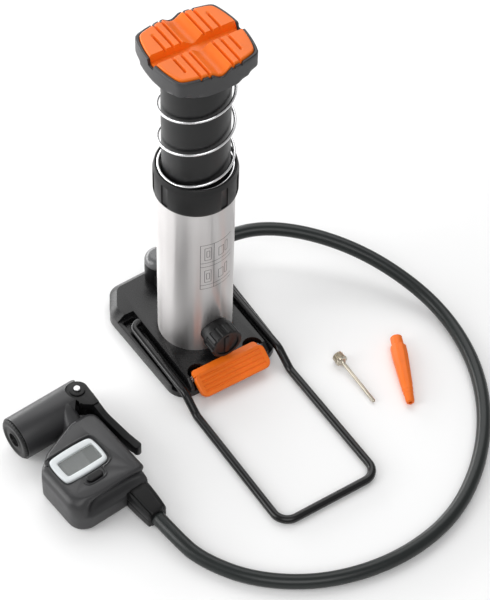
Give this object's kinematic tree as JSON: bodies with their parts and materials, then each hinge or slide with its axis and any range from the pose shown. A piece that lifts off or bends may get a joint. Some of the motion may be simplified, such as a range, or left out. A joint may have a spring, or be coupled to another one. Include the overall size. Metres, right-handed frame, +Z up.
{
  "type": "foot air pump",
  "caption": "Upright foot-operated air pump with a sprung pedal, wire floor stand, hose and a lever chuck head that carries a digital pressure gauge, with loose adaptors beside it.",
  "frame": {"origin": "on the barrel's axis at floor level, on the underside of the rubber pad", "axes": "+Z up along the barrel; the toe side, with the knob, the latch and the stand's loop, points along -Y; the rear valve is on +Y and the chuck head lies on the -X side"},
  "size_m": [0.277, 0.2575, 0.2387],
  "materials": {
    "black_gloss_plastic": "polished",
    "black_plastic": "moulded",
    "grey_plastic": "fine satin",
    "orange_plastic": "moulded satin",
    "barrel_metal": "satin, drawn",
    "plunger_tube": "black satin",
    "stand_wire": "black gloss",
    "steel": "plain",
    "spring_steel": "bright",
    "brass": "pale, plated",
    "seal_rubber": "smooth",
    "hose_rubber": "smooth, satin",
    "bezel_plastic": "satin silver",
    "lens": "clear",
    "display": "smooth",
    "board": "coated",
    "inner_plastic": "moulded"
  },
  "bodies": {
    "base": {"base_plate": "black_gloss_plastic", "base_cover": "black_plastic", "base_pad": "seal_rubber", "base_screws": "steel", "barrel": "barrel_metal", "barrel_foot": "inner_plastic", "foot_seal": "seal_rubber", "collar": "black_plastic", "guide_bush": "inner_plastic", "bleed_port": "black_plastic", "bleed_seal": "seal_rubber", "latch_pin": "steel", "latch_springs": "spring_steel", "valve_housing": "black_plastic", "valve_cap": "grey_plastic", "valve_spring": "spring_steel", "hose_connector": "brass", "hose_ferrule": "steel", "hose": "hose_rubber", "hose_sleeve": "black_plastic", "head_nipple": "brass", "chuck_body": "grey_plastic", "valve_seal": "seal_rubber", "lever_pin": "steel", "lever_washers": "black_plastic", "gauge_lower": "black_plastic", "gauge_upper": "grey_plastic", "gauge_bezel": "bezel_plastic", "display_lens": "lens", "display_panel": "display", "circuit_board": "board", "pressure_sensor": "inner_plastic", "coin_cell": "steel", "gauge_screws": "steel", "return_spring": "spring_steel"},
    "plunger": {"plunger_tube": "plunger_tube", "piston": "inner_plastic", "piston_seal": "seal_rubber", "piston_screw": "steel", "piston_nut": "steel", "pedal_frame": "black_plastic", "pedal_tread": "orange_plastic"},
    "stand": {"wire_stand": "stand_wire"},
    "toe_latch": {"toe_latch": "orange_plastic"},
    "bleed_knob": {"bleed_knob": "black_plastic", "bleed_spindle": "brass"},
    "check_ball": {"check_ball": "steel"},
    "thumb_lever": {"thumb_lever": "black_plastic"},
    "seal_pusher": {"seal_pusher": "inner_plastic"},
    "chuck_cap": {"chuck_cap": "black_plastic"},
    "mode_button": {"mode_button": "black_plastic"},
    "battery_cover": {"battery_cover": "black_plastic"},
    "ball_needle": {"ball_needle": "brass"},
    "tapered_nozzle": {"tapered_nozzle": "orange_plastic"}
  },
  "joints": [
    {"name": "plunger_stroke", "type": "slide", "parent": "base", "child": "plunger", "axis": [0, 0, -1], "range_m": [0, 0.064], "stiffness_N_per_m": 300, "springref_m": -0.03, "deforming": ["return_spring"]},
    {"name": "stand_fold", "type": "hinge", "parent": "base", "child": "stand", "pos_m": [0, 0.01925, 0.01024], "axis": [-1, 0, 0], "range_deg": [0, 70]},
    {"name": "toe_latch_press", "type": "hinge", "parent": "base", "child": "toe_latch", "pos_m": [0, -0.034, 0.009], "axis": [1, 0, 0], "range_deg": [0, 8], "stiffness_Nm_per_rad": 0.5, "springref_deg": -5.73},
    {"name": "bleed_knob_turn", "type": "hinge", "parent": "base", "child": "bleed_knob", "pos_m": [0, -0.03, 0.028], "axis": [0, -1, 0], "range_deg": [0, 270]},
    {"name": "check_ball_lift", "type": "slide", "parent": "base", "child": "check_ball", "axis": [0, 0, 1], "range_m": [0, 0.002], "stiffness_N_per_m": 20, "springref_m": -0.001, "deforming": ["valve_spring"]},
    {"name": "thumb_lever_flip", "type": "hinge", "parent": "base", "child": "thumb_lever", "pos_m": [-0.0914, -0.0173, 0], "axis": [0, 0, 1], "range_deg": [0, 90]},
    {"name": "seal_pusher_press", "type": "slide", "parent": "base", "child": "seal_pusher", "axis": [-0.9954, -0.0958, 0], "range_m": [0, 0.003]},
    {"name": "chuck_cap_turn", "type": "hinge", "parent": "base", "child": "chuck_cap", "pos_m": [-0.1342, -0.02142, 0.0144], "axis": [-0.9954, -0.0958, 0], "range_deg": [0, 270]},
    {"name": "mode_button_press", "type": "slide", "parent": "base", "child": "mode_button", "axis": [0, 0, -1], "range_m": [0, 0.0008], "stiffness_N_per_m": 500, "springref_m": -0.0005},
    {"name": "battery_cover_turn", "type": "hinge", "parent": "base", "child": "battery_cover", "pos_m": [-0.11406, -0.06369, 0.0015], "axis": [0, 0, 1], "range_deg": [0, 30]},
    {"name": "ball_needle_lift", "type": "slide", "parent": "base", "child": "ball_needle", "axis": [0, 0, 1], "range_m": [0, 0.1]},
    {"name": "tapered_nozzle_lift", "type": "slide", "parent": "base", "child": "tapered_nozzle", "axis": [0, 0, 1], "range_m": [0, 0.1]}
  ],
  "couplings": [
    {"joint": "seal_pusher_press", "follows": "thumb_lever_flip", "m_per_rad": 0.0019}
  ]
}
